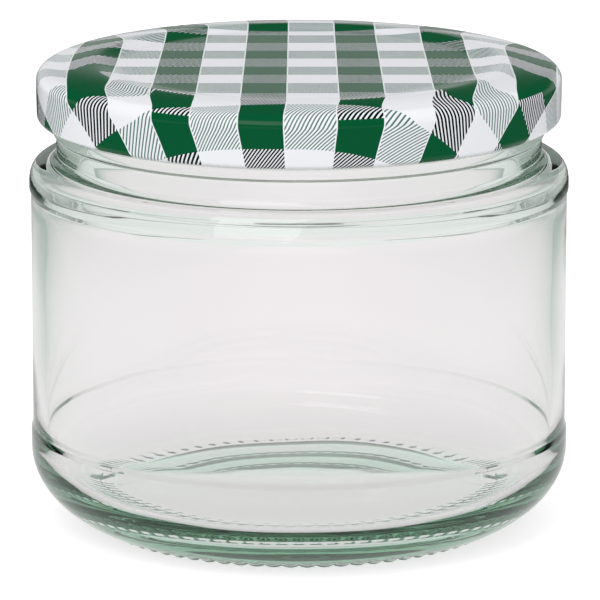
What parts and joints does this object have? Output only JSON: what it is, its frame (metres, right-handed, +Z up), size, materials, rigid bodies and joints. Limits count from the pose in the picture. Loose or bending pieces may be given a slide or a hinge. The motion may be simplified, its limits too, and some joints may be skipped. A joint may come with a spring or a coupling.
{
  "type": "preserving jar",
  "caption": "Low wide-mouth preserving jar of clear glass with a label panel, rounded heel and a printed twist-off metal lid; empty.",
  "frame": {"origin": "on the jar's axis, in the plane that its foot stands on", "axes": "+Z up along the jar's axis, towards the lid; the side seen in the picture faces -Y"},
  "size_m": [0.0906, 0.0906, 0.0785],
  "materials": {
    "clear_glass": "clear pressed glass with a faint green cast where it is thick",
    "printed_tinplate": "gloss varnish over a green and white gingham print"
  },
  "bodies": {
    "root": {"jar": "clear_glass", "lid": "printed_tinplate"}
  },
  "joints": []
}
